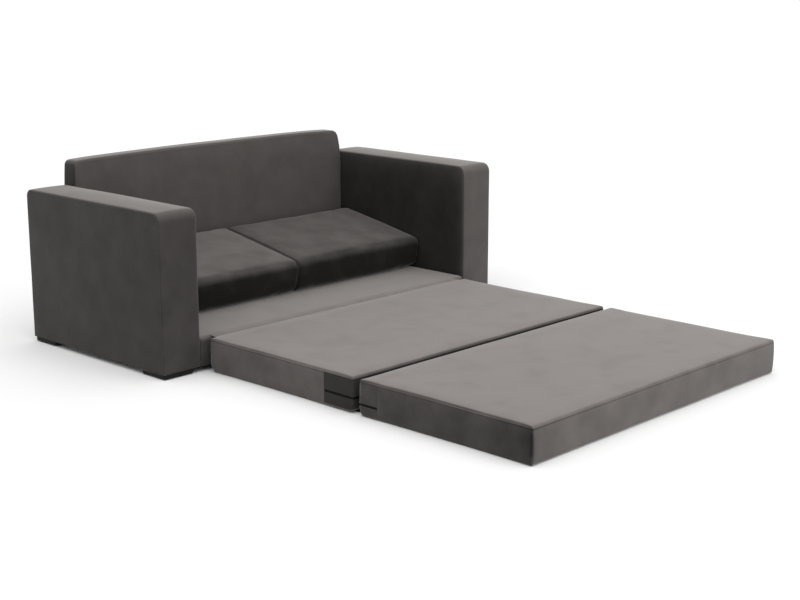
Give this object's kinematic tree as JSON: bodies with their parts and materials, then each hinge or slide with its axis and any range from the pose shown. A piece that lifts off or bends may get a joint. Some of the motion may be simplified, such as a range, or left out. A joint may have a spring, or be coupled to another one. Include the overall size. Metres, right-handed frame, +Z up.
{
  "type": "sleeper sofa",
  "caption": "Low velvet sleeper sofa with box arms and a fold-out foam bed of hinged blocks, shown opened flat with loose cushions leaning on the backrest.",
  "frame": {"origin": "on the floor under the middle of the opened bed's bounding box", "axes": "+X across the sofa to the right arm seen from the front, +Y from the bed's foot end to the backrest, +Z up"},
  "size_m": [1.8, 2.372, 0.715],
  "materials": {
    "velvet": "short pile velvet",
    "velvet_block": "short pile velvet",
    "velvet_cushion": "short pile velvet",
    "velvet_panel": "short pile velvet, nap turned",
    "hinge_fabric": "woven",
    "foam": "open cell foam",
    "padding": "polyester wadding",
    "timber": "sawn pine",
    "plywood": "raw plywood",
    "hardboard": "raw hardboard",
    "dust_cover": "non-woven",
    "foot": "moulded, matt",
    "glide": "moulded, satin",
    "zip_tape": "woven tape with coil teeth",
    "zip_metal": "black enamel",
    "steel": "zinc plated"
  },
  "bodies": {
    "sofa": {"left_arm_frame": "timber", "left_arm_inner_board": "plywood", "left_arm_outer_board": "hardboard", "left_arm_padding": "padding", "left_arm_cover": "velvet", "left_arm_dust_cover": "dust_cover", "right_arm_frame": "timber", "right_arm_inner_board": "plywood", "right_arm_outer_board": "hardboard", "right_arm_padding": "padding", "right_arm_cover": "velvet", "right_arm_dust_cover": "dust_cover", "back_frame": "timber", "back_panel": "hardboard", "back_padding": "padding", "back_cover": "velvet", "back_dust_cover": "dust_cover", "base_front_rail": "timber", "base_rear_rail": "timber", "base_centre_rail": "timber", "base_left_rail": "timber", "base_right_rail": "timber", "base_deck": "plywood", "base_foam": "foam", "base_cover": "velvet", "base_dust_cover": "dust_cover", "front_left_foot": "foot", "front_right_foot": "foot", "rear_left_foot": "foot", "rear_right_foot": "foot", "foot_glides": "glide", "foot_screws": "steel", "arm_bolts": "steel", "arm_bolt_nuts": "steel", "base_hinge_flap": "hinge_fabric"},
    "middle_block": {"middle_block_foam": "foam", "middle_block_cover": "velvet_block", "middle_block_zip_panel": "velvet_panel", "middle_block_zip": "zip_tape", "middle_block_upper_flap": "hinge_fabric", "middle_block_lower_flap": "hinge_fabric"},
    "front_block": {"front_block_foam": "foam", "front_block_cover": "velvet_block", "front_block_zip": "zip_tape", "front_block_flap": "hinge_fabric"},
    "left_cushion": {"left_cushion_foam": "foam", "left_cushion_cover": "velvet_cushion", "left_cushion_zip": "zip_tape"},
    "right_cushion": {"right_cushion_foam": "foam", "right_cushion_cover": "velvet_cushion", "right_cushion_zip": "zip_tape"},
    "middle_block_zip_slider": {"middle_block_zip_slider": "zip_metal"},
    "front_block_zip_slider": {"front_block_zip_slider": "zip_metal"},
    "left_cushion_zip_slider": {"left_cushion_zip_slider": "zip_metal"},
    "right_cushion_zip_slider": {"right_cushion_zip_slider": "zip_metal"}
  },
  "joints": [
    {"name": "middle_fold", "type": "hinge", "parent": "sofa", "child": "middle_block", "pos_m": [0, 0.3365, 0.1323], "axis": [-1, 0, 0], "range_deg": [0, 180]},
    {"name": "front_fold", "type": "hinge", "parent": "middle_block", "child": "front_block", "pos_m": [0, -0.4245, -0.0003], "axis": [1, 0, 0], "range_deg": [0, 180]},
    {"name": "left_cushion_carry", "type": "hinge", "parent": "front_block", "child": "left_cushion", "pos_m": [-0.36325, 0.06701, -0.67668], "axis": [1, 0, 0], "range_deg": [0, 69.5]},
    {"name": "right_cushion_carry", "type": "hinge", "parent": "front_block", "child": "right_cushion", "pos_m": [0.36325, 0.06701, -0.67668], "axis": [1, 0, 0], "range_deg": [0, 69.5]},
    {"name": "middle_block_zip_slide", "type": "slide", "parent": "middle_block", "child": "middle_block_zip_slider", "axis": [1, 0, 0], "range_m": [0, 1.25]},
    {"name": "front_block_zip_slide", "type": "slide", "parent": "front_block", "child": "front_block_zip_slider", "axis": [1, 0, 0], "range_m": [0, 1.25]},
    {"name": "left_cushion_zip_slide", "type": "slide", "parent": "left_cushion", "child": "left_cushion_zip_slider", "axis": [1, 0, 0], "range_m": [0, 0.478]},
    {"name": "right_cushion_zip_slide", "type": "slide", "parent": "right_cushion", "child": "right_cushion_zip_slider", "axis": [1, 0, 0], "range_m": [0, 0.478]}
  ],
  "couplings": [
    {"joint": "front_fold", "follows": "middle_fold", "ratio": 1},
    {"joint": "left_cushion_carry", "follows": "middle_fold", "ratio": 0.38611},
    {"joint": "right_cushion_carry", "follows": "middle_fold", "ratio": 0.38611}
  ]
}
